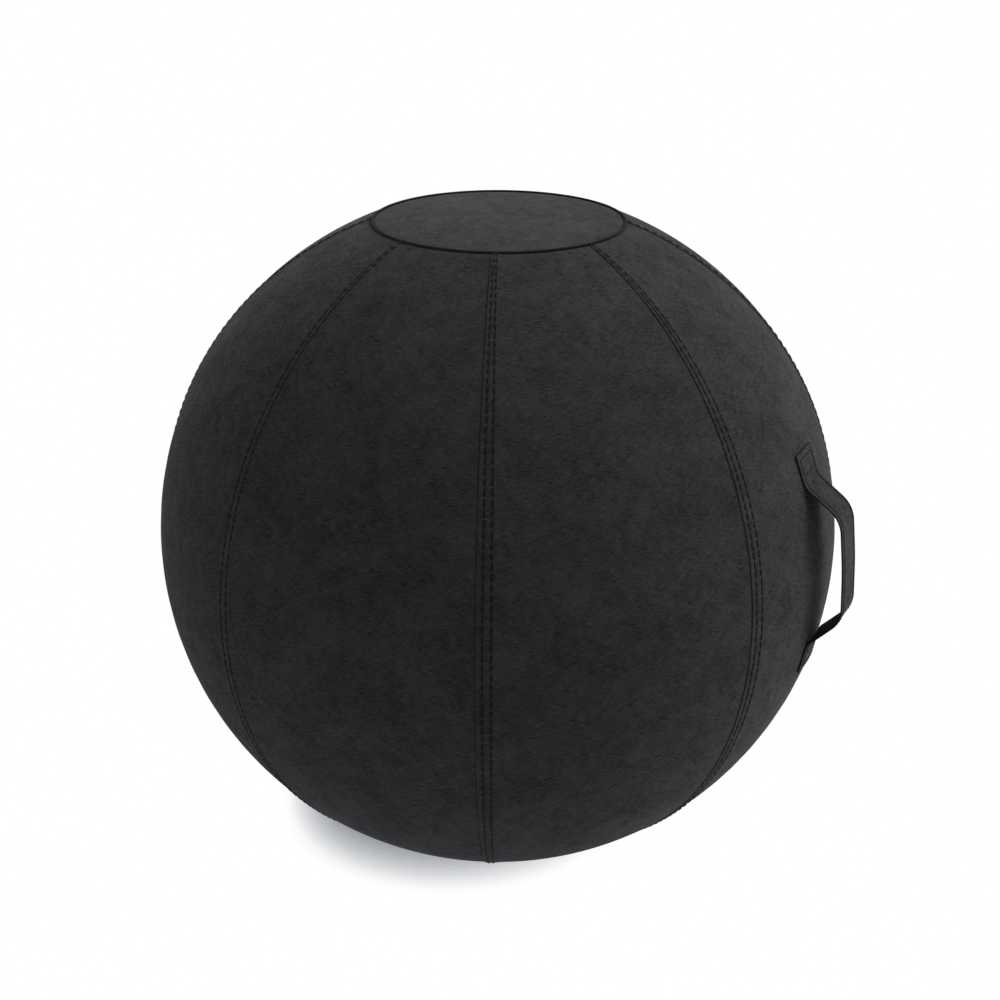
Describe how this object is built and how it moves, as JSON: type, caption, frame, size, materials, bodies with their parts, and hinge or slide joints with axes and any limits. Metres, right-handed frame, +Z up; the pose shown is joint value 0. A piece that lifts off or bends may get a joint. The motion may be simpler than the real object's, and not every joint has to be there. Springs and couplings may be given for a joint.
{
  "type": "sitting ball",
  "caption": "Round inflatable seat in a dark sewn fabric cover of upright gores, with a flat piped top, a flat base, a strap handle on one side and a zip at the back.",
  "frame": {"origin": "middle of the base panel's underside, on the floor under the ball's centre", "axes": "+Z up; +X towards the strap handle; +Y to the left when facing +X"},
  "size_m": [0.6766, 0.6498, 0.6136],
  "materials": {
    "cover_cloth": "brushed woven upholstery cloth, charcoal",
    "strap_cloth": "the cover's cloth, folded and edge-stitched",
    "piping_cord": "fine woven, near black",
    "base_cloth": "cloth with a rubbery non-slip coating",
    "zip_tape": "woven tape, black",
    "zip_teeth": "moulded acetal, satin black",
    "zip_metal": "die-cast zinc with a black finish",
    "bladder_pvc": "soft PVC, satin grey",
    "valve_pvc": "soft PVC, white"
  },
  "bodies": {
    "ball": {"gore_panel_1": "cover_cloth", "gore_panel_2": "cover_cloth", "gore_panel_3": "cover_cloth", "gore_panel_4": "cover_cloth", "gore_panel_5": "cover_cloth", "gore_panel_6": "cover_cloth", "gore_panel_7": "cover_cloth", "gore_panel_8": "cover_cloth", "top_panel": "cover_cloth", "base_panel": "base_cloth", "top_piping": "piping_cord", "base_piping": "piping_cord", "handle_upper_tab": "strap_cloth", "handle_lower_tab": "strap_cloth", "zip_tape_left": "zip_tape", "zip_tape_right": "zip_tape", "zip_teeth_left": "zip_teeth", "zip_teeth_right": "zip_teeth", "zip_top_stops": "zip_teeth", "zip_bottom_stop": "zip_teeth", "bladder": "bladder_pvc", "valve_socket": "valve_pvc", "valve_plug": "valve_pvc"},
    "handle": {"handle_loop": "strap_cloth"},
    "zip_slider": {"zip_slider": "zip_metal"},
    "zip_pull": {"zip_pull": "zip_metal"}
  },
  "joints": [
    {"name": "handle_swing", "type": "hinge", "parent": "ball", "child": "handle", "pos_m": [0.33315, 0, 0.33442], "axis": [-0.0819, 0, 0.9966], "range_deg": [-40, 40]},
    {"name": "zip_slide", "type": "hinge", "parent": "ball", "child": "zip_slider", "pos_m": [0, 0, 0.30703], "axis": [-0.9239, -0.3827, 0], "range_deg": [0, 64.5], "deforming": ["zip_teeth_left", "zip_teeth_right"]},
    {"name": "pull_flip", "type": "hinge", "parent": "zip_slider", "child": "zip_pull", "pos_m": [-0.12228, 0.29521, 0.38002], "axis": [0.9239, 0.3827, 0], "range_deg": [0, 150]}
  ]
}
